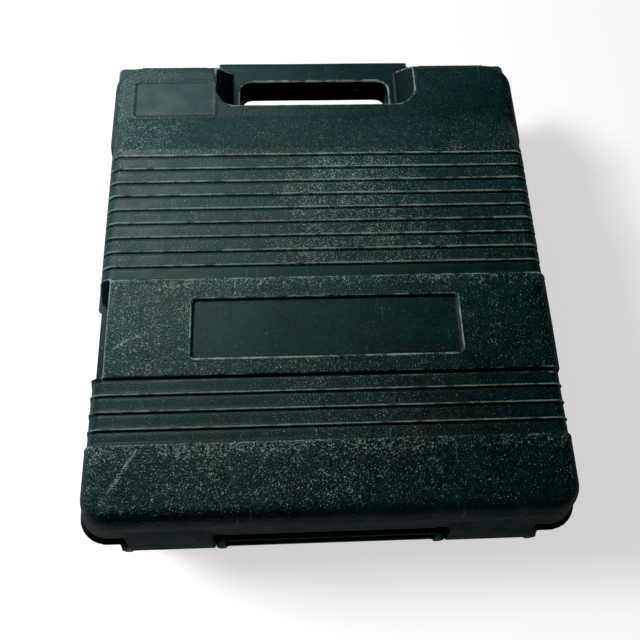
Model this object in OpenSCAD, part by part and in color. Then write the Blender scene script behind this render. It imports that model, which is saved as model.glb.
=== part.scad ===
// Blow-moulded carrying case for a coil roofing nailer.
// The case lies on its back: +Z comes out of the front face, +Y points to the
// carrying handle and X runs across the width. The origin is under the middle.

/* [Case] */
// Overall width across the parting lip
case_w = 349; // [340:1:360]
// Overall length from the hinge blocks to the handle
case_l = 415; // [411:1:420]
// Depth of the front shell, from the parting plane to the rib field
front_d = 60; // [58:1:64]
// Depth of the back shell, from the parting plane to the back face
back_d = 74; // [70:1:80]
// Thickness of the moulded outer skin
skin = 2.8; // [2:0.1:3.2]
// Thickness of the inner skin and of the parting land
liner = 2.5; // [2:0.1:3]

/* [Front face] */
// Distance between the rib grooves
rib_pitch = 11.65; // [11:0.05:12]
// Number of grooves in the upper rib field
upper_grooves = 9; // [5:1:9]
// Number of beads in the lower rib field
lower_beads = 3; // [2:1:3]
// Height of the smooth bands above the rib field
band_rise = 1.5; // [0.5:0.1:2]
// Depth of the sunken blank panel in the wide band
panel_sink = 1.2; // [0.6:0.1:1.6]

/* [Handle] */
// Width of the opening for the fingers
grip_w = 130; // [110:1:134]
// Thickness of the handle bar over both shells
grip_t = 26; // [24:1:30]
// Width of the handle bar, from its inner to its outer edge
grip_bar = 24.5; // [22:0.5:28]
// Room for the fingers between the bar and the case
grip_gap = 44; // [40:1:46]

/* [Hinge] */
// Radius of the steel hinge pins
hinge_pin_r = 1.75; // [1.5:0.05:2]
// Width of the tongue on the front shell
tongue_w = 58; // [50:1:60]
// Width of each hinge ear on the back shell
ear_w = 6; // [5:0.5:7]
// Distance of each hinge from the middle of the case
hinge_x = 109; // [104:1:110]

/* [Latches] */
// Width of the side latch
side_latch_w = 67; // [60:1:67]
// Width of the two latches beside the handle
top_latch_w = 56; // [50:1:57]
// Height of a latch above its pin
latch_h = 38; // [34:1:38]
// Radius of the steel latch pins
latch_pin_r = 1.5; // [1.2:0.1:1.6]

/* [Hidden] */

shell_green = [0.05, 0.13, 0.12];
latch_green = [0.06, 0.10, 0.10];
steel = [0.70, 0.70, 0.70];

eps = 0.01;
slice = 0.5;              // thickness of the flat foot of a hull
seam = 0.15;              // each shell stops this far from the parting plane
run = 0.05;               // radial clearance of a pin in a turning knuckle
parting_z = back_d;
face_z = back_d + front_d;
lip_t = 3;                // thickness of the lip of each shell
lip_x = case_w / 2;
lip_top = case_l / 2;
hinge_reach = 4;          // material outside the hinge axis
hinge_y = -case_l / 2 + hinge_reach;
hinge_z = parting_z;
lip_bottom = hinge_y + 0.5;
lip_end_r = 4;            // plan radius of the lip beside the handle

// walls at the parting plane
wall_x = lip_x - 2.2;
wall_bottom = lip_bottom + 3.5;
wall_top = lip_top - 6.75;
foot_r = 19;              // plan radius of the bottom corners
head_r = 22;              // plan radius of the shoulder corners
edge_r = 10;              // rounding of the face edge
brow_r = 10;              // rounding of the shoulder edge

// walls at the front face
face_x = wall_x - 12.8;
face_bottom = wall_bottom + 2.7;
ramp_y = 80;              // the face starts to fall towards the handle here
ramp_slope = 18 / 43;
shoulder_z = face_z - 18;
shoulder_x = wall_x - 5.3;
shoulder_top = 179;
shoulder_foot = 102;      // the shoulder block reaches back under the ramp to here
ramp_end = 172;           // the ramp goes on under the shoulder to here
top_wall_r = 6;           // plan radius of the walls beside the handle

// walls at the back face
back_x = wall_x - 11;
back_bottom = wall_bottom + 2.5;
back_top = 186;

// rows across the front face, measured along Y
first_groove_y = 72.75;
wide_band = [-101.5, -29.4];
low_band = [-204, -146.3];
low_band_z = parting_z + 12;  // the low band starts this high on the walls
panel = [186, 43.3];      // width and height of the sunken panel
panel_y = -67.5;
first_bead_y = -113.1;
groove_w = 1.4;
groove_d = 1.1;
bead_w = 2.2;
bead_rise = 0.9;
side_relief_z = parting_z + 14;  // the rows run down the side walls to here

// handle
bar_in = lip_top - grip_bar;
gap_y = bar_in - grip_gap;
grip_half = grip_t / 2;
bar_r = 8;
scoop_x = 84;
scoop_floor_x = 72;
scoop_r = 18;
scoop_floor_r = 14;
name_field = [-149, 123.5, 66, 36];
name_sink = 0.6;

// nest for the tool: floor distance from the outside of each shell
nest_floor = 8.5;
barrel_slot = [-125, -185, 85, 275];
handle_slot = [-60, 30, 205, 60];
arm_slot = [80, -48, 65, 90];
tray = [30, -185, 115, 55];
tray_d = 30;
blow_hole_r = 2;          // the moulder's blow pin leaves this hole in each land
blow_hole_y = wall_bottom + 7;
drum = [25, -53, 66];

// latches
latch_t = 4.5;
latch_knuckle_r = 3.6;
latch_drop = 16;          // the latch pins lie this far below the parting plane
latch_pin_grip = 4;       // length of pin held in the back shell at each end
latch_pin_z = parting_z - latch_drop;
side_recess = [-101.3, -29.6];
side_latch_y = (side_recess[0] + side_recess[1]) / 2;
side_pin_x = -(lip_x - 11.2);
side_wall_x = -(lip_x - 14.8);
top_latch_x = 121;
top_recess_w = top_latch_w + 2.6;
top_wall_y = 185.2;
top_pin_y = top_wall_y + 4;
pivot_room = 4.3;         // room left round a latch knuckle

// ------------------------------------------------------------------ helpers

// flat rectangle given as [x, y, width, height], grown by g on every side
module area(a, g = 0) {
    translate([a[0] - g, a[1] - g]) square([a[2] + 2 * g, a[3] + 2 * g]);
}

// the ring-shaped corner of a softly rounded block
module soft_corner(x, y, z, plan_r, r) {
    translate([x, y, z]) rotate_extrude($fn = 32) intersection() {
        translate([plan_r - r, 0]) circle(r, $fn = 24);
        translate([0, -r]) square([plan_r, 2 * r]);
    }
}

// a shape drawn in the Y-Z plane and extruded along X between two stations
module along_x(x0, x1) {
    translate([x0, 0, 0]) rotate([90, 0, 90]) linear_extrude(x1 - x0) children();
}

// a shape drawn in the X-Z plane and extruded along Y between two stations
module along_y(y0, y1) {
    translate([0, y1, 0]) rotate([90, 0, 0]) linear_extrude(y1 - y0) children();
}

// flat rectangle with two round corners at each end
module plate_outline(x, y0, y1, r0, r1) {
    translate([-x, y0 + r0]) square([2 * x, y1 - y0 - r0 - r1]);
    translate([-x + r0, y0]) square([2 * (x - r0), r0 + eps]);
    translate([-x + r1, y1 - r1 - eps]) square([2 * (x - r1), r1 + eps]);
    for (s = [-1, 1]) {
        translate([s * (x - r0), y0 + r0]) circle(r0, $fn = 64);
        translate([s * (x - r1), y1 - r1]) circle(r1, $fn = 32);
    }
}

module lip_outline() {
    plate_outline(lip_x, lip_bottom, lip_top, foot_r + 1, lip_end_r);
}

// ------------------------------------------------------------ shell volumes

// the front block with its ramp, grown by g, standing on the height z0
module main_block(g, z0) {
    hull() {
        for (s = [-1, 1]) {
            soft_corner(s * (face_x - foot_r), face_bottom + foot_r, face_z - edge_r,
                        foot_r + g, edge_r + g);
            translate([s * (face_x - edge_r), ramp_y - 2, face_z - edge_r])
                sphere(edge_r + g, $fn = 24);
            translate([s * (wall_x - foot_r), wall_bottom + foot_r, z0])
                cylinder(r = foot_r + g, h = slice, $fn = 48);
        }
        translate([-wall_x - g, ramp_end + 10, z0]) cube([2 * (wall_x + g), 5 + g, slice]);
        translate([-face_x, ramp_end, face_z - (ramp_end - ramp_y) * ramp_slope + g - 1])
            cube([2 * face_x, 1, 1]);
    }
}

// the lower block between the ramp and the handle edge
module shoulder_block(z0) {
    hull() {
        for (s = [-1, 1]) {
            soft_corner(s * (shoulder_x - head_r), shoulder_top - head_r,
                        shoulder_z - brow_r, head_r, brow_r);
            translate([s * (shoulder_x - brow_r), shoulder_foot, shoulder_z - brow_r])
                sphere(brow_r, $fn = 24);
            for (y = [wall_top - top_wall_r, shoulder_foot])
                translate([s * (wall_x - top_wall_r), y, z0])
                    cylinder(r = top_wall_r, h = slice, $fn = 32);
        }
    }
}

// the back block, grown by g, reaching up to the height z1
module back_block(g, z1) {
    hull() {
        for (s = [-1, 1]) {
            soft_corner(s * (back_x - foot_r), back_bottom + foot_r, edge_r,
                        foot_r + g, edge_r + g);
            soft_corner(s * (back_x - head_r), back_top - head_r, edge_r,
                        head_r + g, edge_r + g);
            translate([s * (wall_x - foot_r), wall_bottom + foot_r, z1 - slice])
                cylinder(r = foot_r + g, h = slice, $fn = 48);
            translate([s * (wall_x - top_wall_r), wall_top - top_wall_r, z1 - slice])
                cylinder(r = top_wall_r + g, h = slice, $fn = 32);
        }
    }
}

// sunken seat of the handle; side 1 is the front, side -1 the back
module scoop(side) {
    mouth_z = side > 0 ? face_z - 15 : -2;
    floor_z = parting_z + side * grip_half - (side > 0 ? 0 : eps);
    y_out = lip_top + 8;
    hull() {
        for (s = [-1, 1]) {
            translate([s * (scoop_x - scoop_r), gap_y - 4 + scoop_r, mouth_z])
                cylinder(r = scoop_r, h = 1, $fn = 48);
            translate([s * (scoop_floor_x - scoop_floor_r), gap_y + scoop_floor_r, floor_z])
                cylinder(r = scoop_floor_r, h = eps, $fn = 48);
            translate([s * (scoop_x - 1), y_out, mouth_z]) cylinder(r = 1, h = 1, $fn = 16);
            translate([s * (scoop_floor_x - 1), y_out, floor_z]) cylinder(r = 1, h = eps, $fn = 16);
        }
    }
}

// opening for the fingers, grown by g
module finger_hole(g) {
    translate([0, 0, -5]) linear_extrude(face_z + 10)
        plate_outline(grip_w / 2 + g, gap_y - g, bar_in + g, 10, 10);
}

// rounded handle bar; side 1 is the front half
module bar_half(side) {
    z0 = parting_z + (side > 0 ? seam : -grip_half);
    corner_z = parting_z + side * (grip_half - bar_r);
    along_x(-scoop_x, scoop_x) {
        translate([bar_in + bar_r, z0]) square([grip_bar - 2 * bar_r, grip_half - seam]);
        translate([bar_in, min(corner_z, parting_z + side * seam)])
            square([grip_bar, grip_half - bar_r - seam]);
        for (y = [bar_in + bar_r, lip_top - bar_r])
            intersection() {
                translate([y, corner_z]) circle(bar_r, $fn = 48);
                translate([bar_in, z0]) square([grip_bar, grip_half - seam]);
            }
    }
}

// the hollow under the skin of the bar and of its two ends
module bar_hollow(side) {
    z0 = side > 0 ? parting_z + seam + liner : parting_z - grip_half + skin;
    h = grip_half - seam - liner - skin;
    end = scoop_x + 4;    // the hollow of the bar joins the hollow of the case here
    end_w = end - grip_w / 2 - skin;
    half = scoop_x - skin;
    translate([-half, bar_in + skin, z0]) cube([2 * half, grip_bar - 2 * skin, h]);
    for (x = [-end, end - end_w])
        translate([x, bar_in - 11, z0]) cube([end_w, 20, h]);
}

// pockets for the tool, grown by g, between two heights
module nest(g, z0, z1) {
    translate([0, 0, z0]) linear_extrude(z1 - z0) {
        area(barrel_slot, g);
        area(handle_slot, g);
        area(arm_slot, g);
        translate([drum[0], drum[1]]) circle(drum[2] + g, $fn = 96);
    }
}

// ------------------------------------------------------------------ latches

// outline of a latch in its own frame: pin at the origin, outside to +Y
module latch_profile() {
    circle(latch_knuckle_r, $fn = 48);
    polygon([
        [-latch_knuckle_r + 0.1, 0], [latch_knuckle_r, 0],
        [1.4, 8], [1.4, latch_h - 7], [3.2, latch_h - 1.5], [2.6, latch_h],
        [1.4 - latch_t, latch_h], [1.4 - latch_t, 6],
    ]);
}

module latch(w) {
    difference() {
        along_x(-w / 2, w / 2) latch_profile();
        along_x(-w / 2 - 1, w / 2 + 1) circle(latch_pin_r + run, $fn = 48);
        // finger groove near the free edge
        along_x(-w / 2 + 8, w / 2 - 8)
            translate([1.4 + 2.6, latch_h - 10]) circle(3.4, $fn = 48);
    }
}

module latch_pin(w) {
    along_x(-w / 2 - latch_pin_grip, w / 2 + latch_pin_grip) circle(latch_pin_r, $fn = 48);
}

module at_side_latch() {
    translate([side_pin_x, side_latch_y, latch_pin_z]) rotate([0, 0, 90]) children();
}

module at_top_latch(s) {
    translate([s * top_latch_x, top_pin_y, latch_pin_z]) children();
}

// room for the side latch in the walls of both shells, grown by g
module side_recess_cut(g) {
    x_out = -lip_x - 10;
    along_y(side_recess[0] - g, side_recess[1] + g)
        polygon([
            [x_out, latch_pin_z - 9 - g], [side_pin_x, latch_pin_z - 9 - g],
            [side_pin_x + pivot_room + g, latch_pin_z - 5 - g],
            [side_pin_x + pivot_room + g, latch_pin_z + 3],
            [side_wall_x + g, latch_pin_z + 6], [side_wall_x + g, face_z - 36 + g],
            [-151 + g, face_z - 29 + g], [-151 + g, face_z + 5], [x_out, face_z + 5],
        ]);
}

// room for one of the latches beside the handle, grown by g
module top_recess_cut(s, g) {
    y_out = lip_top + 10;
    along_x(s * top_latch_x - top_recess_w / 2 - g, s * top_latch_x + top_recess_w / 2 + g)
        polygon([
            [y_out, latch_pin_z - 9 - g], [top_pin_y, latch_pin_z - 9 - g],
            [top_pin_y - pivot_room - g, latch_pin_z - 5 - g],
            [top_pin_y - pivot_room - g, latch_pin_z + 3],
            [top_wall_y - g, latch_pin_z + 6], [top_wall_y - g, face_z - 33 + g],
            [y_out, face_z - 33 + g],
        ]);
}

// ears at the ends of the side recess that hold its latch pin
module side_latch_ears() {
    for (y = [side_recess[0] - 6, side_recess[1]])
        along_y(y, y + 6)
            polygon([
                [side_pin_x - 4.5, latch_pin_z - 4], [side_pin_x - 4.5, latch_pin_z + 13],
                [side_wall_x + 4, latch_pin_z + 13], [side_wall_x + 4, latch_pin_z - 12],
                [side_pin_x + 1, latch_pin_z - 12],
            ]);
}

// ------------------------------------------------------------------- hinges

hinge_w = tongue_w + 2 * ear_w + 1;
ear_r = hinge_reach;
ledge_x = 142;            // half width of the ledge
ledge_drop = 3.6;         // its top lies this far below the parting plane
ledge_t = 4;
ledge_reach = 3.2;        // it stands out this far past the lip

// solid root of one hinge in the back shell
module hinge_root(x) {
    along_x(x - hinge_w / 2, x + hinge_w / 2)
        polygon([
            [hinge_y - hinge_reach, parting_z - 1], [hinge_y - hinge_reach, parting_z - 12],
            [hinge_y + 3, parting_z - 24], [hinge_y + 16, parting_z - 24],
            [hinge_y + 16, parting_z - seam], [hinge_y, parting_z - seam],
        ]);
}

// low ledge of the back shell under the lip, between and behind the hinges
module hinge_ledge() {
    translate([0, 0, parting_z - ledge_drop - ledge_t]) linear_extrude(ledge_t)
        plate_outline(ledge_x, lip_bottom - ledge_reach, wall_bottom + 4, 10, 1);
}

// room that the tongue needs in the back shell while the lid turns over
module tongue_room(x) {
    along_x(x - tongue_w / 2 - 0.5, x + tongue_w / 2 + 0.5)
        polygon([
            [hinge_y + 4.6, hinge_z + 1], [hinge_y + 4.4, hinge_z - 2.1],
            [hinge_y + 3.5, hinge_z - 8], [hinge_y - 4.4, hinge_z - 41],
            [hinge_y - 12, hinge_z - 41], [hinge_y - 12, hinge_z + 1],
        ]);
}

// room that the ears need in the front shell
module ear_room(x) {
    for (e = [-1, 1])
        along_x(x + e * (tongue_w + 1 + ear_w) / 2 - ear_w / 2 - 0.5 + eps,
                x + e * (tongue_w + 1 + ear_w) / 2 + ear_w / 2 + 0.5 - eps)
            translate([hinge_y - 5, hinge_z - 1]) square([9.4, 16]);
}

module hinge_ears(x) {
    for (s = [-1, 1])
        along_x(x + s * (tongue_w + 1 + ear_w) / 2 - ear_w / 2,
                x + s * (tongue_w + 1 + ear_w) / 2 + ear_w / 2) {
            translate([hinge_y, hinge_z]) circle(ear_r, $fn = 48);
            translate([hinge_y - ear_r, hinge_z - 6]) square([2 * ear_r, 6]);
        }
}

module tongue(x) {
    along_x(x - tongue_w / 2, x + tongue_w / 2) {
        translate([hinge_y, hinge_z]) circle(ear_r, $fn = 48);
        polygon([
            [hinge_y - 3.4, hinge_z + 2.1], [hinge_y - 2.6, hinge_z + 8],
            [hinge_y + 5.2, hinge_z + 40], [hinge_y + 7, hinge_z + 41.2],
            [hinge_y + 10, hinge_z + 41.2], [hinge_y + 14, hinge_z + 18],
            [hinge_y + 14, hinge_z + seam], [hinge_y, hinge_z + seam],
        ]);
    }
}

module hinge_pin(x) {
    color(steel)
        along_x(x - hinge_w / 2 + 1.5, x + hinge_w / 2 - 1.5)
            translate([hinge_y, hinge_z]) circle(hinge_pin_r, $fn = 48);
}

// ---------------------------------------------------------------- sub-parts

module back_shell() {
    top = parting_z - seam;
    color(shell_green)
    difference() {
        union() {
            difference() {
                union() {
                    back_block(0, top);
                    translate([0, 0, top - lip_t]) linear_extrude(lip_t) lip_outline();
                }
                scoop(-1);
            }
            bar_half(-1);
            for (s = [-1, 1]) {
                hinge_root(s * hinge_x);
                hinge_ears(s * hinge_x);
            }
            hinge_ledge();
            side_latch_ears();
        }
        finger_hole(0);
        side_recess_cut(0);
        for (s = [-1, 1]) {
            top_recess_cut(s, 0);
            tongue_room(s * hinge_x);
            along_x(s * hinge_x - hinge_w / 2 + 1.5, s * hinge_x + hinge_w / 2 - 1.5)
                translate([hinge_y, hinge_z]) circle(hinge_pin_r, $fn = 48);
            at_top_latch(s) latch_pin(top_recess_w);
        }
        at_side_latch() latch_pin(side_recess[1] - side_recess[0]);
        // pockets
        nest(0, nest_floor, parting_z + 1);
        translate([0, 0, parting_z - tray_d]) linear_extrude(tray_d + 1) area(tray);
        // hollow between the two skins, with the blow pin hole
        difference() {
            back_block(-skin, top - liner);
            nest(liner, nest_floor - liner, parting_z);
            translate([0, 0, parting_z - tray_d - liner]) linear_extrude(tray_d + 5) area(tray, liner);
            finger_hole(skin);
            translate([-scoop_x - skin, gap_y - 4 - skin, -1])
                cube([2 * (scoop_x + skin), 90, parting_z - grip_half + skin + 1]);
            side_recess_cut(skin);
            for (s = [-1, 1]) {
                top_recess_cut(s, skin + 3);
                translate([s * hinge_x - hinge_w / 2 - 2, hinge_y, parting_z - 26])
                    cube([hinge_w + 4, 18, 30]);
            }
            translate([side_pin_x - 5, side_recess[0] - 8, latch_pin_z - 14])
                cube([16, side_recess[1] - side_recess[0] + 16, 30]);
        }
        bar_hollow(-1);
        translate([0, blow_hole_y, parting_z - 10]) cylinder(r = blow_hole_r, h = 12, $fn = 24);
    }
}

module front_shell() {
    base = parting_z + seam;
    color(shell_green)
    difference() {
        union() {
            difference() {
                union() {
                    main_block(0, base);
                    shoulder_block(base);
                    intersection() {
                        main_block(band_rise, base);
                        union() {
                            translate([-lip_x, wide_band[0], parting_z + lip_t])
                                cube([case_w, wide_band[1] - wide_band[0], front_d + 5]);
                            translate([-lip_x, low_band[0], low_band_z])
                                cube([case_w, low_band[1] - low_band[0], front_d]);
                        }
                    }
                    translate([0, 0, base]) linear_extrude(lip_t) lip_outline();
                    intersection() {
                        main_block(bead_rise, base);
                        for (i = [0:lower_beads - 1])
                            translate([-lip_x, first_bead_y - i * rib_pitch - bead_w / 2,
                                       side_relief_z])
                                cube([case_w, bead_w, front_d]);
                    }
                }
                scoop(1);
            }
            bar_half(1);
            for (s = [-1, 1]) tongue(s * hinge_x);
        }
        // grooves of the upper rib field
        difference() {
            for (i = [0:upper_grooves - 1])
                translate([-lip_x, first_groove_y - i * rib_pitch - groove_w / 2, side_relief_z])
                    cube([case_w, groove_w, front_d]);
            main_block(-groove_d, base);
        }
        // sunken panel and name field
        translate([-panel[0] / 2, panel_y - panel[1] / 2, face_z + band_rise - panel_sink])
            cube([panel[0], panel[1], 5]);
        translate([name_field[0], name_field[1], shoulder_z - name_sink])
            cube([name_field[2], name_field[3], 5]);
        finger_hole(0);
        side_recess_cut(0);
        for (s = [-1, 1]) {
            top_recess_cut(s, 0);
            ear_room(s * hinge_x);
            along_x(s * hinge_x - hinge_w / 2, s * hinge_x + hinge_w / 2)
                translate([hinge_y, hinge_z]) circle(hinge_pin_r + run, $fn = 48);
        }
        // pockets
        nest(0, parting_z - 1, face_z - nest_floor);
        // hollow between the two skins, with the blow pin hole
        difference() {
            union() {
                main_block(-skin, base + liner);
                for (x = [-150, 92])
                    translate([x, 112, base + liner]) cube([58, 58, shoulder_z - skin - base - liner]);
            }
            nest(liner, parting_z, face_z - nest_floor + liner);
            finger_hole(skin);
            translate([-scoop_x - skin, gap_y - 4 - skin, parting_z + grip_half - skin])
                cube([2 * (scoop_x + skin), 90, 80]);
            side_recess_cut(skin);
            for (s = [-1, 1]) {
                top_recess_cut(s, skin);
                translate([s * hinge_x - hinge_w / 2 - 2, hinge_y, parting_z])
                    cube([hinge_w + 4, 16, 21]);
            }
        }
        bar_hollow(1);
        translate([0, blow_hole_y, parting_z - 1]) cylinder(r = blow_hole_r, h = 10, $fn = 24);
    }
}

module hinge_pin_left() { hinge_pin(-hinge_x); }
module hinge_pin_right() { hinge_pin(hinge_x); }
module side_latch() { color(latch_green) at_side_latch() latch(side_latch_w); }
module side_latch_pin() {
    color(steel) at_side_latch() latch_pin(side_recess[1] - side_recess[0]);
}
module top_latch_left() { color(latch_green) at_top_latch(-1) latch(top_latch_w); }
module top_latch_right() { color(latch_green) at_top_latch(1) latch(top_latch_w); }
module top_latch_pin_left() { color(steel) at_top_latch(-1) latch_pin(top_recess_w); }
module top_latch_pin_right() { color(steel) at_top_latch(1) latch_pin(top_recess_w); }

back_shell();
front_shell();
hinge_pin_left();
hinge_pin_right();
side_latch();
side_latch_pin();
top_latch_left();
top_latch_right();
top_latch_pin_left();
top_latch_pin_right();
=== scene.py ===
import math

import bmesh
import bpy
import numpy as np
from mathutils import Euler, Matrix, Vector
from mathutils.bvhtree import BVHTree


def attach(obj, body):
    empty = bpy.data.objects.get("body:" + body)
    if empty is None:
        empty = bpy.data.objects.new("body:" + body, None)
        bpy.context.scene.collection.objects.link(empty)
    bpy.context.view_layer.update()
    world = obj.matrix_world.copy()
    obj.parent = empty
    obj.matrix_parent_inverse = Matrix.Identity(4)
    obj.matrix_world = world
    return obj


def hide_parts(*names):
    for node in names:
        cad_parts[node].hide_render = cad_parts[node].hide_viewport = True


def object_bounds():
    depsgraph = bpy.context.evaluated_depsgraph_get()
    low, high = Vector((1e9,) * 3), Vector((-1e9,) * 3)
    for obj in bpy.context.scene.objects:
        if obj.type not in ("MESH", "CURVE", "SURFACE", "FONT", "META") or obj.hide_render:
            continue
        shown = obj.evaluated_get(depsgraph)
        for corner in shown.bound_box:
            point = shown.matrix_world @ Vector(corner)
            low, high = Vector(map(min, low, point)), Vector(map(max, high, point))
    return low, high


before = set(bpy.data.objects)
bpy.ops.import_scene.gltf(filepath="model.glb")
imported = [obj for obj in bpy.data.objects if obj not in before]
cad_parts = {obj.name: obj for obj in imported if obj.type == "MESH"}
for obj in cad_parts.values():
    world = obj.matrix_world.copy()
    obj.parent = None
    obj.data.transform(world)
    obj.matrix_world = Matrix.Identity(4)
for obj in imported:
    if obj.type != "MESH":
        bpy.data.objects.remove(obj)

low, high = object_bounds()
MM = 0.001
scene = bpy.context.scene

# ------------------------------------------------------------------- camera
cam_data = bpy.data.cameras.new("camera")
cam = bpy.data.objects.new("camera", cam_data)
scene.collection.objects.link(cam)
cam.location = (-0.0231, -0.2424, 0.5851)
cam.rotation_euler = Euler([math.radians(a) for a in (21.733, -1.576, -2.004)], "XYZ")
cam_data.sensor_width = 36.0
cam_data.lens = 39.375
cam_data.clip_start = 0.01
scene.camera = cam
view = scene.view_settings
view.view_transform = "Standard"
view.use_curve_mapping = True
view.curve_mapping.black_level = (0.005, 0.005, 0.005)
view.curve_mapping.update()

# ------------------------------------------------ case dimensions, in mm
# These repeat the CAD's sizes, so that the relief follows the CAD surface.
PART_Z = 74.0                    # parting plane of the two shells
FACE_Z = 134.0                   # flat front face
WALL_X = 172.3                   # half width of the side walls at the parting plane
FACE_X = 159.5                   # half width of the front face
WALL_BOTTOM = -199.5             # hinge-side wall at the parting plane
FACE_BOTTOM = -196.8             # hinge-side wall at the front face
FOOT_R = 19.0                    # upright corners at the hinge side
EDGE_R = 10.0                    # rounding round the front face
RAMP_Y = 80.0                    # the face slopes down to the handle from here
RAMP_SLOPE = 18 / 43
RAMP_END = 172.0
BLOCK_END = 187.0                # far end of the front block's foot
SHOULDER_Z = 116.0               # tops of the two shoulders beside the handle
HINGE = (109.0, -203.5, 74.0)    # middle of the right hinge; the left one mirrors it
GROOVES = [72.75 - 11.65 * i for i in range(9)]
BEADS = [-113.1 - 11.65 * i for i in range(3)]
WIDE = (-101.5, -29.4)           # wide proud band, from and to
LOW_TOP = -146.3                 # proud band at the hinge edge starts here
BAND = 1.5                       # both bands stand this far out
RECESS = (-150.0, -103.65, -27.35)   # side latch recess: inner x, low y, high y
LIP_Y = -203.0                   # lip of the back shell at the hinge side
LEDGE = (73.2, 70.4)             # ledge between the hinges: half length, top
EAR = (138.5, 144.5)             # outer hinge ears: inner and outer face
NAME = (-149.0, -83.0, 123.5, 159.5)   # writing field: x from, to, y from, to
FIELD_R = 4.0                    # its corners
PANEL = (93.0, 21.65, -67.5)     # sunken panel: half length, half height, middle y
PANEL_R = 3.0                    # its corners
PANEL_DEEP = 1.2
PANEL_RIM = 0.3                  # fine raised rim round the panel
GROOVE_DEEP = 1.15
GROOVE_HALF = (0.4, 1.3)         # half width of a groove's floor and of its mouth
STRIP_SWELL = 0.9                # crown of the strips between the grooves
BEAD_HIGH = 1.0
BEAD_FOOT = 0.5                  # hollow along the foot of a bead
ROW_HALF = 3.5                   # a groove or bead with its flanks
BLOW_PIN = (7.0, 3.0, 2.1)       # blow-pin hole: inset, radius and depth to fill
KNUCKLE = (28.8, 2.4)            # front shell's knuckle: half length, bore to fill
EAR_BORE = (29.4, 4.9, 2.2)      # back shell's ears: start, length, bore to fill
BLOCK_HALF = (34.0, 37.5)        # hinge block: half width, where the blend ends
VOXEL = 1.165                    # mesh size of the front shell's skin
BACK_VOXEL = 1.5                 # mesh size of the back shell's skin
FRONT_FAIRING, BACK_FAIRING = 4, 9   # smoothing rounds
SNAP = 2.4                       # a point further than this from the block stays put


# ------------------------------------------------------------ mesh helpers
def new_object(name, mesh):
    ob = bpy.data.objects.new(name, mesh)
    scene.collection.objects.link(ob)
    return ob


def add_rod(bm, start, axis, radius, length):
    """A closed cylinder along X or Z, in mm, that fills a bore before remeshing."""
    ring = 24
    ends = []
    for k in (0, 1):
        loop = []
        for i in range(ring):
            a = 2 * math.pi * i / ring
            u, v = radius * math.cos(a), radius * math.sin(a)
            if axis == "X":
                p = (start[0] + k * length, start[1] + u, start[2] + v)
            else:
                p = (start[0] + u, start[1] - v, start[2] + k * length)
            loop.append(bm.verts.new(Vector(p) * MM))
        ends.append(loop)
    bm.faces.new(ends[0][::-1])
    bm.faces.new(ends[1])
    for i in range(ring):
        j = (i + 1) % ring
        bm.faces.new((ends[0][i], ends[0][j], ends[1][j], ends[1][i]))


def remeshed(node, voxel, rods):
    """The CAD node with its hidden bores filled, as an even skin of quads."""
    bm = bmesh.new()
    bm.from_mesh(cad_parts[node].data)
    for rod in rods:
        add_rod(bm, *rod)
    bmesh.ops.recalc_face_normals(bm, faces=bm.faces)
    me = bpy.data.meshes.new(node + "_work")
    bm.to_mesh(me)
    bm.free()
    ob = new_object(node + "_work", me)
    mod = ob.modifiers.new("skin", "REMESH")
    mod.mode = "VOXEL"
    mod.voxel_size = voxel * MM
    dg = bpy.context.evaluated_depsgraph_get()
    out = bpy.data.meshes.new_from_object(ob.evaluated_get(dg))
    bpy.data.objects.remove(ob)
    bpy.data.meshes.remove(me)
    out.name = node + "_skin"
    return out


def points_of(me):
    co = np.empty(len(me.vertices) * 3)
    me.vertices.foreach_get("co", co)
    return co.reshape(-1, 3) / MM


def edges_of(me):
    e = np.empty(len(me.edges) * 2, dtype=np.int64)
    me.edges.foreach_get("vertices", e)
    return e.reshape(-1, 2)


def neighbour_mean(co, edges, count):
    out = np.empty_like(co)
    for k in range(3):
        total = np.bincount(edges[:, 0], co[edges[:, 1], k], len(co))
        total += np.bincount(edges[:, 1], co[edges[:, 0], k], len(co))
        out[:, k] = total / count
    return out


def fair(co, edges, rounds):
    """Taubin smoothing: rounds the edges without shrinking the shell."""
    count = np.bincount(edges.ravel(), minlength=len(co)).astype(float)
    for _ in range(rounds):
        co = co + 0.55 * (neighbour_mean(co, edges, count) - co)
        co = co - 0.57 * (neighbour_mean(co, edges, count) - co)
    return co


def outer_part(me):
    """Drops every loose shell but the one with the largest box."""
    edges = edges_of(me)
    label = np.arange(len(me.vertices))
    while True:
        before = label.copy()
        small = np.minimum(label[edges[:, 0]], label[edges[:, 1]])
        np.minimum.at(label, edges[:, 0], small)
        np.minimum.at(label, edges[:, 1], small)
        label = label[label]
        label = label[label]
        if (label == before).all():
            break
    co = points_of(me)
    best, size = None, -1.0
    for name in np.unique(label):
        part = co[label == name]
        extent = float(np.ptp(part, axis=0).sum())
        if extent > size:
            best, size = name, extent
    if (label != best).any():
        bm = bmesh.new()
        bm.from_mesh(me)
        bm.verts.ensure_lookup_table()
        drop = [bm.verts[i] for i in np.nonzero(label != best)[0]]
        bmesh.ops.delete(bm, geom=drop, context="VERTS")
        bm.to_mesh(me)
        bm.free()
    return me


def ease(a, b, x):
    """Smooth step from 0 at a to 1 at b."""
    t = np.clip((x - a) / (b - a), 0.0, 1.0)
    return t * t * (3 - 2 * t)


def bump_at(x, centre, width):
    """Bell curve of height 1."""
    return np.exp(-(((x - centre) / width) ** 2))


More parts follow.
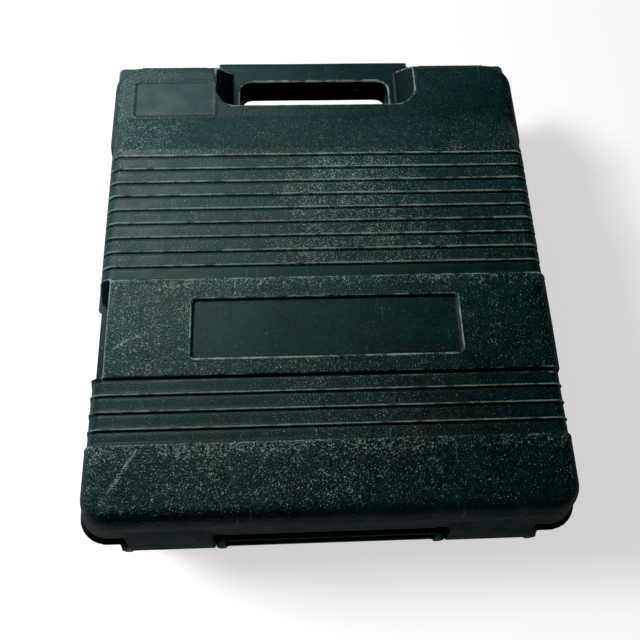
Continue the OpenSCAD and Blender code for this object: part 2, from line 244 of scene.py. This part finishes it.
# ---------------------------------------------- smooth base of the front block
def main_block():
    """The front block without its relief, finely rounded, as a search tree."""
    pts = []
    for s in (-1, 1):
        cx, cy, cz = s * (FACE_X - FOOT_R), FACE_BOTTOM + FOOT_R, FACE_Z - EDGE_R
        for a in np.linspace(0, 2 * math.pi, 96, endpoint=False):
            for b in np.linspace(0, math.pi / 2, 20):
                r = FOOT_R - EDGE_R + EDGE_R * math.cos(b)
                pts.append((cx + r * math.cos(a), cy + r * math.sin(a),
                            cz + EDGE_R * math.sin(b)))
        cx, cy = s * (FACE_X - EDGE_R), RAMP_Y - 2
        for a in np.linspace(0, 2 * math.pi, 96, endpoint=False):
            for b in np.linspace(0, math.pi / 2, 20):
                pts.append((cx + EDGE_R * math.cos(b) * math.cos(a),
                            cy + EDGE_R * math.cos(b) * math.sin(a),
                            cz + EDGE_R * math.sin(b)))
        cx, cy = s * (WALL_X - FOOT_R), WALL_BOTTOM + FOOT_R
        for a in np.linspace(0, 2 * math.pi, 96, endpoint=False):
            pts.append((cx + FOOT_R * math.cos(a), cy + FOOT_R * math.sin(a), PART_Z))
        pts.append((s * WALL_X, BLOCK_END, PART_Z))
        ramp_z = FACE_Z - (RAMP_END - RAMP_Y) * RAMP_SLOPE
        pts.append((s * FACE_X, RAMP_END + 1, ramp_z))
        pts.append((s * FACE_X, RAMP_END, ramp_z))
    bm = bmesh.new()
    for p in pts:
        bm.verts.new(p)
    bmesh.ops.convex_hull(bm, input=bm.verts)
    bmesh.ops.recalc_face_normals(bm, faces=bm.faces)
    tree = BVHTree.FromBMesh(bm)
    bm.free()
    return tree


def box_distance(x, y, half_x, half_y, radius):
    """Distance from the edge of a rounded rectangle, negative inside it."""
    qx, qy = np.abs(x) - half_x + radius, np.abs(y) - half_y + radius
    outside = np.hypot(np.maximum(qx, 0), np.maximum(qy, 0))
    return outside + np.minimum(np.maximum(qx, qy), 0) - radius


def name_distance(x, y):
    """Distance from the edge of the writing field, negative inside it."""
    return box_distance(x - (NAME[0] + NAME[1]) / 2, y - (NAME[2] + NAME[3]) / 2,
                        (NAME[1] - NAME[0]) / 2, (NAME[3] - NAME[2]) / 2, FIELD_R)


def panel_distance(x, y):
    """Distance from the edge of the sunken panel, negative inside it."""
    return box_distance(x, y - PANEL[2], PANEL[0], PANEL[1], PANEL_R)


def relief(x, y, z):
    """Height of the front relief over the smooth block, in mm."""
    r = np.zeros_like(y)
    wall = ease(85.0, 90.0, z)
    # strips between the grooves swell a little
    pitch = GROOVES[0] - GROOVES[1]
    t = ((y - GROOVES[-1]) / pitch) % 1.0
    in_field = (y > GROOVES[-1]) & (y < GROOVES[0])
    r += np.where(in_field, STRIP_SWELL * t * (1 - t), 0.0) * wall
    for g in GROOVES:
        u = y - g
        cut = GROOVE_DEEP * (1 - ease(GROOVE_HALF[0], GROOVE_HALF[1], np.abs(u)))
        r += wall * (0.24 * bump_at(u, 2.1, 0.8) - cut)
    for g in BEADS:
        u = y - g
        r += wall * (BEAD_HIGH * bump_at(u, 0.15, 0.75) - BEAD_FOOT * bump_at(u, -1.6, 0.75))
    # both bands, with a fine line along their edges
    wide = ease(-1.1, 1.1, WIDE[1] - y) * ease(-0.6, 0.6, y - WIDE[0])
    r += BAND * wide * ease(76.5, 78.0, z)
    r -= 0.5 * bump_at(y, WIDE[0] - 1.5, 0.8) * wall
    r += 0.22 * bump_at(y, WIDE[1] - 2.2, 1.1) * wall
    low_band = ease(-1.2, 1.2, LOW_TOP - y) * ease(84.5, 87.5, z)
    r += BAND * low_band + 0.2 * bump_at(y, LOW_TOP - 2.4, 1.2) * wall
    # sunken panel with a fine raised rim
    sd = panel_distance(x, y)
    up = z > FACE_Z - 2
    r -= np.where(up, PANEL_DEEP * (1 - ease(-1.1, 0.5, sd)), 0.0)
    r += np.where(up, PANEL_RIM * bump_at(sd, 1.1, 0.7), 0.0)
    return r


def row_shift(y, phase):
    """Moves the mesh rows so that each groove, bead and step has its own rows."""
    marks = sorted(GROOVES + BEADS + [WIDE[1] - 0.1, WIDE[0], LOW_TOP])
    src, dst = [-190.0], [-190.0]
    for mark in marks:
        row = (round(mark / VOXEL - phase) + phase) * VOXEL
        for k, away in ((-3, -2.8), (-2, -1.65), (-1, -0.78), (0, 0.0),
                        (1, 0.78), (2, 1.65), (3, 2.8)):
            src.append(row + k * VOXEL)
            dst.append(mark + away)
    src.append(90.0)
    dst.append(90.0)
    return np.interp(y, src, dst)


def waviness(co):
    """Slow sink and swell of a blow-moulded wall, in mm."""
    x, y, z = co.T
    return (0.10 * np.sin(x / 31 + 1.3) * np.sin(y / 37 + 0.4)
            + 0.06 * np.sin(x / 17 - y / 23 + 2.1) + 0.05 * np.sin(y / 13 + z / 19))


def write_back(me, co):
    me.vertices.foreach_set("co", (co * MM).ravel())
    me.update()


def vertex_normals(me):
    n = np.empty(len(me.vertices) * 3)
    me.vertex_normals.foreach_get("vector", n)
    return n.reshape(-1, 3)


def set_attribute(me, name, values):
    att = me.attributes.new(name, "FLOAT", "POINT")
    att.data.foreach_set("value", values.astype(np.float32))


def curvature(co, normals, edges, rounds):
    """Signed bend of the surface: positive on convex edges, negative in corners."""
    count = np.bincount(edges.ravel(), minlength=len(co)).astype(float)
    bend = -np.einsum("ij,ij->i", neighbour_mean(co, edges, count) - co, normals)
    for _ in range(rounds):
        total = np.bincount(edges[:, 0], bend[edges[:, 1]], len(co))
        total += np.bincount(edges[:, 1], bend[edges[:, 0]], len(co))
        bend = 0.5 * bend + 0.5 * total / count
    return bend


# ------------------------------------------------------------------ front shell
def build_front():
    """The front shell's skin, with grooves, beads, bands and panel formed in it."""
    inset, radius, depth = BLOW_PIN
    rods = [((0.0, WALL_BOTTOM + inset, PART_Z + 0.3), "Z", radius, depth)]
    for s in (-1, 1):
        start = (s * HINGE[0] - KNUCKLE[0], HINGE[1], HINGE[2])
        rods.append((start, "X", KNUCKLE[1], 2 * KNUCKLE[0]))
    me = outer_part(remeshed("front_shell", VOXEL, rods))
    edges = edges_of(me)
    co = fair(points_of(me), edges, FRONT_FAIRING)
    write_back(me, co)
    nrm = vertex_normals(me)
    tree = main_block()
    x, y, z = co.T
    # how far each point belongs to the smooth front block
    w = ease(78.2, 80.0, z) * (1 - ease(77.5, 79.0, y))
    recess = 1 - ease(RECESS[0] - 1, RECESS[0] + 1, x)
    recess *= ease(RECESS[1] - 0.85, RECESS[1] + 0.85, y)
    recess *= 1 - ease(RECESS[2] - 0.85, RECESS[2] + 0.85, y)
    w *= 1 - recess
    hinge = 1 - ease(BLOCK_HALF[0], BLOCK_HALF[1], np.abs(np.abs(x) - HINGE[0]))
    hinge *= (1 - ease(-194.0, -192.0, y)) * (1 - ease(117.0, 119.5, z))
    w *= 1 - hinge
    on_face = (nrm[:, 2] > 0.99) & (np.abs(z - FACE_Z) < 0.2)
    phase = float(np.median((y[on_face] / VOXEL) % 1.0))
    # the nearest place on the block; points of an inner face keep away from it
    base = co.copy()
    near = np.zeros((len(co), 3))
    for i in np.nonzero(w > 0)[0]:
        hit, n, _, d = tree.find_nearest(Vector(co[i]))
        if d > SNAP or n.dot(Vector(nrm[i])) < 0:
            w[i] = 0.0
            continue
        base[i] = hit
        near[i] = n
    # the rows move to the grooves and beads, then the relief stands on the block
    shifted = base.copy()
    shifted[:, 1] = np.where(w > 0, row_shift(base[:, 1], phase), base[:, 1])
    for i in np.nonzero(w > 0)[0]:
        hit, n, _, _ = tree.find_nearest(Vector(shifted[i]))
        shifted[i] = hit
        near[i] = n
    height = relief(*shifted.T)
    target = shifted + near * height[:, None]
    co = co + (target - co) * w[:, None]
    # writing field on the left shoulder
    x, y, z = co.T
    sd = name_distance(x, y)
    on_top = (nrm[:, 2] > 0.6) & (np.abs(z - SHOULDER_Z) < 1.2) & (sd < 3.5) & (y > 121.5)
    flat = SHOULDER_Z + 0.55 * bump_at(sd, 0.2, 0.8) - 0.25 * (1 - ease(-1.6, -0.4, sd))
    co[:, 2] = np.where(on_top, flat, co[:, 2])
    outer = (nrm[:, 2] > -0.2) & (z > 78)
    co += nrm * (waviness(co) * outer)[:, None]
    write_back(me, co)
    return me, edges


def build_back():
    """The back shell's skin."""
    inset, radius, depth = BLOW_PIN
    rods = [((0.0, WALL_BOTTOM + inset, PART_Z - 2.5), "Z", radius, depth)]
    near_end, length, bore = EAR_BORE
    for s in (-1, 1):
        for start in (-near_end - length + 0.1, near_end):
            rods.append(((s * HINGE[0] + start, HINGE[1], HINGE[2]), "X", bore, length))
    me = outer_part(remeshed("back_shell", BACK_VOXEL, rods))
    edges = edges_of(me)
    co = fair(points_of(me), edges, BACK_FAIRING)
    # keep the corners by the lip and the ears open, where the lid comes at 180 degrees
    x, y, z = co.T.copy()
    far = np.abs(x)
    level = np.abs(z - LEDGE[1] - 1.5) < 1.5
    corner = (far < LEDGE[0]) & (np.abs(y - LIP_Y + 1.5) < 1.5) & level
    down = corner & (z - LEDGE[1] < LIP_Y - y)
    co[:, 2] = np.where(down, LEDGE[1], z)
    outside = (far > EAR[1]) & (far < EAR[1] + 2.5) & (np.abs(y - LIP_Y + 1.75) < 1.75) & level
    aside = outside & (far - EAR[1] < LIP_Y - y)
    co[:, 1] = np.where((corner & ~down) | (outside & ~aside), LIP_Y, y)
    inside = (np.abs(far - EAR[0] + 1) < 1) & (y < LIP_Y + 2.5) & (z > 56) & (z < 78)
    far = np.where(aside, EAR[1], np.where(inside, EAR[0], far))
    co[:, 0] = np.sign(x) * far
    write_back(me, co)
    nrm = vertex_normals(me)
    outer = (nrm[:, 2] < 0.2) & (co[:, 2] < 68) & (co[:, 2] > 2)
    co += nrm * (waviness(co) * outer)[:, None]
    write_back(me, co)
    return me, edges


def in_range(v, a, b, soft):
    """1 between a and b, 0 outside, with soft ends."""
    return ease(a - soft, a + soft, v) * (1 - ease(b - soft, b + soft, v))


def line_mask(x, y, points, width):
    """Closeness to a line through points, for a scratch."""
    best = np.full(len(x), 1e9)
    for (ax, ay), (bx, by) in zip(points[:-1], points[1:]):
        dx, dy = bx - ax, by - ay
        t = np.clip(((x - ax) * dx + (y - ay) * dy) / (dx * dx + dy * dy), 0, 1)
        best = np.minimum(best, np.hypot(x - ax - t * dx, y - ay - t * dy))
    return np.exp(-((best / width) ** 2))


# the few long scratches: strength, width and points, in mm
LONG_MARKS = (
    (1.0, 0.9, [(-145, -81), (-135, -75), (-124, -71)]),
    (0.8, 1.1, [(-126, -152), (-133, -163), (-139, -173), (-146, -184)]),
    (0.5, 0.8, [(-60, -20), (-96, -34), (-120, -38)]),
    (0.5, 0.9, [(64, -158), (70, -169), (71, -181)]),
    (0.9, 1.6, [(-153, -60), (-155, -100)]),
)


def front_attributes(me, edges):
    """Maps for the material, worked out from place, slope and bend."""
    co, nrm = points_of(me), vertex_normals(me)
    x, y, z = co.T
    # wear on convex edges, thin light lines beside the grooves and on the beads
    bend = curvature(co, nrm, edges, 1)
    bend = np.where(z < 79, 1.3 * curvature(co, nrm, edges, 9), bend)
    near_row, crest = np.zeros_like(y), np.zeros_like(y)
    for g in GROOVES:
        near_row = np.maximum(near_row, in_range(y - g, -ROW_HALF, ROW_HALF, 0.2))
        crest += 0.8 * bump_at(y - g, 1.65, 0.45)
    for g in BEADS:
        near_row = np.maximum(near_row, in_range(y - g, -ROW_HALF, ROW_HALF, 0.2))
        crest += bump_at(y - g, 0.1, 0.45)
    crest *= ease(88.0, 96.0, z)
    near_row *= ease(84.0, 90.0, z)
    wear = np.clip(bend / 0.16, 0, 1) * (1 - 0.7 * near_row)
    foot = 1 - ease(FACE_BOTTOM + 3, FACE_BOTTOM + 11, y)
    field_rim = bump_at(name_distance(x, y), 0.0, 2.6) * (z > SHOULDER_Z - 2)
    wear = np.clip(wear * (1 - 0.6 * field_rim) + crest, 0, 1)
    set_attribute(me, "wear", wear * (1 - 0.85 * foot))
    # concave bend, where the material paints crease shade
    set_attribute(me, "cavity", np.clip(-bend / 0.13, 0, 1))
    skin = ease(84.0, 92.0, z)
    set_attribute(me, "matt", 1 - ease(0.1, 0.75, nrm[:, 2]))
    # the fields of the face
    low_band = (1 - ease(LOW_TOP - 1, LOW_TOP + 1, y)) * ease(84, 88, z)
    wide = in_range(y, WIDE[0], WIDE[1], 0.8)
    ribs = in_range(y, GROOVES[-1], GROOVES[0], 1.0)
    beads = in_range(y, LOW_TOP, WIDE[0], 1.0)
    upper = ease(GROOVES[0], GROOVES[0] + 1, y)
    in_panel = 1 - ease(-1.5, 0.0, panel_distance(x, y))
    name = (1 - ease(-1.5, 0.0, name_distance(x, y))) * (nrm[:, 2] > 0.6)
    seat = 1 - ease(82.0, 86.0, np.abs(x))
    seat *= ease(133.0, 139.0, y) * (1 - ease(113.0, 116.0, z))
    # pebble grain, strongest on the two bands
    pebble = low_band + 0.85 * wide + 0.4 * ribs + 0.45 * beads + 0.75 * upper
    pebble *= (1 - 0.85 * in_panel) * (1 - 0.85 * name) * (1 - 0.85 * seat)
    set_attribute(me, "pebble", np.clip(pebble * (0.15 + 0.85 * skin), 0, 1))
    # painted light and shade in the plastic's tone: paler towards the upper left and on the
    # writing field, darker on the ramp and shoulders, the lower band, the handle bar's seat,
    # the walls and the foot
    tone_with_painted_light = 0.45 - x / 330 + (y + 60) / 460 - 0.32 * upper - 0.22 * low_band
    tone_with_painted_light += 0.2 * name - 0.25 * seat
    tone_with_painted_light -= 0.5 * (1 - ease(0.1, 0.7, nrm[:, 2])) + 0.5 * foot
    set_attribute(me, "tone_with_painted_light", np.clip(tone_with_painted_light, 0, 1))
    # rubbed flecks, by field and along the rims
    right = ease(-40.0, 150.0, x)
    rim = bump_at(nrm[:, 2], 0.93, 0.06) * skin
    scuff = low_band * (0.6 - 0.3 * right + 0.3 * bump_at(y, LOW_TOP - 5, 4) + 0.35 * rim)
    scuff += wide * (0.75 - 0.38 * ease(-150.0, 60.0, x)
                     + 0.45 * ease(WIDE[1] - 12, WIDE[1] - 2, y) + 0.25 * rim)
    scuff += ribs * (0.42 + 0.42 * in_range(x, -35.0, 75.0, 30.0) + 0.1 * rim)
    scuff += beads * (0.36 + 0.28 * in_range(x, -40.0, 70.0, 30.0))
    scuff += upper * (0.2 + 0.45 * in_range(y, GROOVES[0], RAMP_Y, 1.5)
                      + 0.35 * (1 - ease(-130.0, -90.0, x)) + 0.25 * rim)
    scuff *= (1 - 0.7 * in_panel) * (1 - 0.6 * name) * (1 - 0.75 * seat)
    scuff *= (0.3 + 0.7 * ease(0.1, 0.6, nrm[:, 2])) * (1 - 0.8 * foot)
    set_attribute(me, "scuff", np.clip(scuff, 0, 1) * skin)
    marks = np.zeros_like(x)
    for strength, width, points in LONG_MARKS:
        marks += strength * line_mask(x, y, points, width)
    set_attribute(me, "scratch", np.clip(marks, 0, 1) * (nrm[:, 2] > 0.5))


def back_attributes(me, edges):
    """The same maps for the back shell, which is less worn."""
    co, nrm = points_of(me), vertex_normals(me)
    x, y, z = co.T
    bend = curvature(co, nrm, edges, 1)
    set_attribute(me, "wear", np.clip(bend / 0.25 - 0.25, 0, 0.45))
    # concave bend, where the material paints crease shade
    set_attribute(me, "cavity", np.clip(-bend / 0.2, 0, 1))
    outside = (nrm[:, 2] < 0.5) & (z < 70)
    set_attribute(me, "pebble", np.where(outside, 0.6, 0.15))
    rim = bump_at(nrm[:, 2], -0.9, 0.08)
    set_attribute(me, "scuff", np.where(outside, 0.22 + 0.3 * rim, 0.05))
    set_attribute(me, "scratch", np.zeros(len(co)))
    set_attribute(me, "tone_with_painted_light", np.full(len(co), 0.45))
    set_attribute(me, "matt", np.full(len(co), 0.3))


front_me, front_edges = build_front()
front_attributes(front_me, front_edges)
back_me, back_edges = build_back()
back_attributes(back_me, back_edges)

front = new_object("front_shell_skin", front_me)
back = new_object("back_shell_skin", back_me)
for ob in (front, back):
    ob.data.shade_smooth()
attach(front, "lid")
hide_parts("front_shell")
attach(back, "base")
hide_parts("back_shell")


# ---------------------------------------------------------------- materials
class Graph:
    """Short calls for building a node material."""

    def __init__(self, name):
        self.material = bpy.data.materials.new(name)
        self.material.use_nodes = True
        self.tree = self.material.node_tree
        self.shader = self.tree.nodes["Principled BSDF"]
        coords = self.tree.nodes.new("ShaderNodeTexCoord")
        self.place = coords.outputs["Object"]

    def feed(self, socket, value):
        if isinstance(value, bpy.types.NodeSocket):
            self.tree.links.new(value, socket)
        else:
            socket.default_value = value

    def attribute(self, name):
        node = self.tree.nodes.new("ShaderNodeAttribute")
        node.attribute_name = name
        return node.outputs["Fac"]

    def math(self, kind, a, b=0.0, clamp=False):
        node = self.tree.nodes.new("ShaderNodeMath")
        node.operation = kind
        node.use_clamp = clamp
        self.feed(node.inputs[0], a)
        self.feed(node.inputs[1], b)
        return node.outputs[0]

    def ramp(self, value, low_in, high_in, low_out=0.0, high_out=1.0):
        node = self.tree.nodes.new("ShaderNodeMapRange")
        node.interpolation_type = "SMOOTHSTEP"
        for name, v in (("Value", value), ("From Min", low_in), ("From Max", high_in),
                        ("To Min", low_out), ("To Max", high_out)):
            self.feed(node.inputs[name], v)
        return node.outputs["Result"]

    def stretched(self, scale, angle=0.0):
        node = self.tree.nodes.new("ShaderNodeMapping")
        node.inputs["Rotation"].default_value = (0, 0, angle)
        node.inputs["Scale"].default_value = scale
        self.feed(node.inputs["Vector"], self.place)
        return node.outputs["Vector"]

    def noise(self, scale, detail=2.0, rough=0.5, vector=None):
        node = self.tree.nodes.new("ShaderNodeTexNoise")
        self.feed(node.inputs["Vector"], vector or self.place)
        node.inputs["Scale"].default_value = scale
        node.inputs["Detail"].default_value = detail
        node.inputs["Roughness"].default_value = rough
        return node.outputs["Fac"]

    def cells(self, scale):
        node = self.tree.nodes.new("ShaderNodeTexVoronoi")
        self.feed(node.inputs["Vector"], self.place)
        node.inputs["Scale"].default_value = scale
        split = self.tree.nodes.new("ShaderNodeSeparateColor")
        self.feed(split.inputs[0], node.outputs["Color"])
        return node.outputs["Distance"], split.outputs[0]

    def mix(self, factor, a, b):
        node = self.tree.nodes.new("ShaderNodeMix")
        node.data_type = "RGBA"
        self.feed(node.inputs["Factor"], factor)
        self.feed(node.inputs["A"], a)
        self.feed(node.inputs["B"], b)
        return node.outputs["Result"]

    def bump(self, height, distance, normal=None):
        node = self.tree.nodes.new("ShaderNodeBump")
        node.inputs["Strength"].default_value = 1.0
        node.inputs["Distance"].default_value = distance
        self.feed(node.inputs["Height"], height)
        if normal is not None:
            self.feed(node.inputs["Normal"], normal)
        return node.outputs["Normal"]

    def finish(self, **values):
        for name, value in values.items():
            self.feed(self.shader.inputs[name.replace("_", " ")], value)
        return self.material


DEEP = (0.0022, 0.0180, 0.0190, 1)     # darker plastic, and the painted shade end of the shells' tone
PALE = (0.0080, 0.0640, 0.0670, 1)     # paler plastic, and the painted light end of the shells' tone
CREASE_SHADE = (0.0008, 0.0022, 0.0022, 1)     # painted shade in grooves and corners
HAZE = (0.0600, 0.1000, 0.0960, 1)     # dust on the surface; on the shells its amount also carries painted light
CHALK = (0.5000, 0.6800, 0.6400, 1)     # whitened plastic of rubs and scratches
LICHEN = (0.4600, 0.5900, 0.4800, 1)     # the same with a greenish stain


# Noise and cell scales are per metre, bump distances in metres.
def shell_plastic():
    """Pebbled and scuffed green-black plastic of both shells, with painted light and shade in
    its tone and painted shade in its creases.
    """
    g = Graph("shell_plastic")
    wear, cavity = g.attribute("wear"), g.attribute("cavity")
    pebble, scuff = g.attribute("pebble"), g.attribute("scuff")
    scratch, tone_with_painted_light = g.attribute("scratch"), g.attribute("tone_with_painted_light")
    # pebble grain and its rubbed tips
    away, _ = g.cells(760)
    grain = g.ramp(away, 0.65, 0.1)
    patch = g.math("MULTIPLY", g.ramp(g.noise(30, 4, 0.65), 0.34, 0.66, 0.82, 1.12),
                   g.ramp(g.noise(130, 2, 0.6), 0.35, 0.65, 0.8, 1.15))
    chalk = g.mix(g.ramp(g.noise(16, 2, 0.5), 0.45, 0.65), CHALK, LICHEN)
    density = g.math("MULTIPLY", scuff, patch)
    density = g.math("ADD", density, g.math("MULTIPLY", scratch, 0.9))
    threshold = g.math("SUBTRACT", 0.72, g.math("MULTIPLY", density, 0.19))
    speck = g.noise(1000, 2, 0.6)
    fleck = g.ramp(g.math("SUBTRACT", speck, threshold), 0.0, 0.05)
    fleck = g.math("MULTIPLY", fleck, g.ramp(away, 0.75, 0.3, 0.35, 1.0))
    # stray hairline scratches in three directions
    hair = None
    for angle, seed in ((0.5, 3.0), (-0.9, 7.0), (1.9, 11.0)):
        lines = g.noise(1.0, 1, 0.4, g.stretched((900, 22 + seed, 60), angle))
        lines = g.ramp(lines, 0.74, 0.8)
        hair = lines if hair is None else g.math("MAXIMUM", hair, lines)
    hair = g.math("MULTIPLY", hair, g.ramp(g.noise(25, 2, 0.5), 0.5, 0.6))
    # colour: tone with painted light and shade, dust, rubbed wear and painted crease shade
    mottle = g.math("MULTIPLY", g.math("SUBTRACT", g.noise(26, 5, 0.65), 0.5), 1.1)
    # random mottle on top of the painted light and shade
    tone = g.math("ADD", tone_with_painted_light, mottle, clamp=True)
    colour = g.mix(tone, DEEP, PALE)
    wiped = g.noise(1.0, 3, 0.6, g.stretched((620, 45, 45)))
    dust_with_painted_light = g.math("MULTIPLY", g.ramp(g.noise(240, 4, 0.7), 0.4, 0.75),
                  g.ramp(wiped, 0.3, 0.7, 0.5, 1.0))
    dust_with_painted_light = g.math("MULTIPLY", dust_with_painted_light, g.ramp(g.noise(1250, 2, 0.7), 0.38, 0.62, 0.3, 1.8))
    # the dust is thicker where the tone is painted lighter, so it adds to the painted light
    # and shade
    dust_with_painted_light = g.math("MULTIPLY", dust_with_painted_light, g.math("ADD", g.math("MULTIPLY", scuff, 0.5),
                                           g.math("MULTIPLY", tone_with_painted_light, 0.45)), clamp=True)
    colour = g.mix(dust_with_painted_light, colour, HAZE)
    edge = g.math("MULTIPLY", wear, g.ramp(g.noise(90, 4, 0.65), 0.3, 0.7, 0.4, 1.0))
    colour = g.mix(g.ramp(edge, 0.24, 0.62, 0.0, 0.8), colour, chalk)
    colour = g.mix(g.math("MULTIPLY", hair, 0.25), colour, chalk)
    colour = g.mix(g.math("MULTIPLY", fleck, 0.9), colour, chalk)
    # painted shade in the concave grooves and corners, from the cavity map
    colour = g.mix(g.ramp(cavity, 0.25, 0.75, 0.0, 0.95), colour, CREASE_SHADE)
    rough = g.ramp(g.noise(60, 3, 0.6), 0.3, 0.7, 0.47, 0.6)
    rough = g.math("ADD", rough, g.math("MULTIPLY", fleck, 0.2))
    rough = g.math("ADD", rough, g.math("MULTIPLY", g.attribute("matt"), 0.35), clamp=True)
    normal = g.bump(g.math("MULTIPLY", grain, pebble), 0.00018)
    normal = g.bump(g.noise(1900, 2, 0.6), 0.00003, normal)
    normal = g.bump(g.math("MULTIPLY", hair, -1.0), 0.00004, normal)
    return g.finish(Base_Color=colour, Roughness=rough, Normal=normal,
                    Specular_IOR_Level=0.45)


def latch_plastic():
    """Smoother plastic of the latches."""
    g = Graph("latch_plastic")
    tone = g.ramp(g.noise(22, 4, 0.6), 0.3, 0.7)
    colour = g.mix(tone, DEEP, PALE)
    smear = g.noise(1.0, 3, 0.6, g.stretched((60, 60, 500)))
    colour = g.mix(g.ramp(smear, 0.5, 0.75, 0.0, 0.4), colour, HAZE)
    away, chance = g.cells(800)
    fleck = g.math("MULTIPLY", g.ramp(away, 0.4, 0.2), g.ramp(chance, 0.86, 0.93))
    colour = g.mix(g.math("MULTIPLY", fleck, 0.4), colour, CHALK)
    rough = g.ramp(g.noise(75, 3, 0.6), 0.3, 0.7, 0.4, 0.52)
    normal = g.bump(g.noise(900, 3, 0.6), 0.00003)
    return g.finish(Base_Color=colour, Roughness=rough, Normal=normal,
                    Specular_IOR_Level=0.32)


def pin_steel():
    """Drawn steel with some grime."""
    g = Graph("pin_steel")
    grime = g.ramp(g.noise(420, 4, 0.6), 0.42, 0.7)
    colour = g.mix(grime, (0.42, 0.42, 0.41, 1), (0.10, 0.085, 0.07, 1))
    rough = g.ramp(g.noise(1.0, 2, 0.5, g.stretched((120, 4000, 4000))), 0.3, 0.7, 0.25, 0.45)
    normal = g.bump(g.noise(1.0, 2, 0.5, g.stretched((60, 5000, 5000))), 0.00001)
    return g.finish(Base_Color=colour, Roughness=rough, Normal=normal, Metallic=0.9)


looks = {"shell_plastic": shell_plastic(), "latch_plastic": latch_plastic(),
         "pin_steel": pin_steel()}
for name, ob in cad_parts.items():
    kind = ("shell_plastic" if "shell" in name else
            "pin_steel" if "pin" in name else "latch_plastic")
    for slot in ob.material_slots:
        slot.material = looks[kind]
front.data.materials.append(looks["shell_plastic"])
back.data.materials.append(looks["shell_plastic"])

# -------------------------------------------------------------------- floor
bpy.ops.mesh.primitive_plane_add(size=12, location=(0, 0, low[2] - 0.0004))
floor = bpy.context.object
floor.name = "floor"
paper = Graph("floor_paper")
seen = paper.tree.nodes.new("ShaderNodeLightPath").outputs["Is Camera Ray"]
glow = paper.math("MULTIPLY", seen, 0.6)
paper.finish(Base_Color=(0.8, 0.8, 0.8, 1), Roughness=0.9, Emission_Color=(1, 1, 1, 1),
             Emission_Strength=glow)
floor.data.materials.append(paper.material)

# ------------------------------------------------------------------- lights
world = bpy.data.worlds.new("world")
scene.world = world
world.use_nodes = True
background = world.node_tree.nodes["Background"]
background.inputs["Color"].default_value = (1, 1, 1, 1)
seen_sky = world.node_tree.nodes.new("ShaderNodeLightPath").outputs["Is Camera Ray"]
sky = world.node_tree.nodes.new("ShaderNodeMapRange")
sky.inputs["To Min"].default_value = 0.07
sky.inputs["To Max"].default_value = 0.93
world.node_tree.links.new(seen_sky, sky.inputs["Value"])
world.node_tree.links.new(sky.outputs["Result"], background.inputs["Strength"])


def soft_light(name, place, target, size, power, floor_only=False):
    """A round area light for the case only, or for the floor only."""
    data = bpy.data.lights.new(name, "AREA")
    data.shape = "DISK"
    data.size = size
    data.energy = power
    ob = bpy.data.objects.new(name, data)
    scene.collection.objects.link(ob)
    ob.location = place
    ob.rotation_euler = (Vector(target) - Vector(place)).to_track_quat("-Z", "Y").to_euler()
    ob.visible_camera = False
    group = bpy.data.collections.new(name + "_receivers")
    group.objects.link(floor)
    link = group.collection_objects[0].light_linking
    link.link_state = "INCLUDE" if floor_only else "EXCLUDE"
    ob.light_linking.receiver_collection = group


soft_light("key", (-0.38, 0.45, 0.66), (-0.06, 0.02, 0.13), 0.34, 3.4)
soft_light("fill", (0.55, -1.3, 0.55), (0, 0, 0.05), 0.9, 0.5)
soft_light("floor_light", (-1.6, 0.28, 1.5), (0, 0, 0), 0.7, 36, floor_only=True)
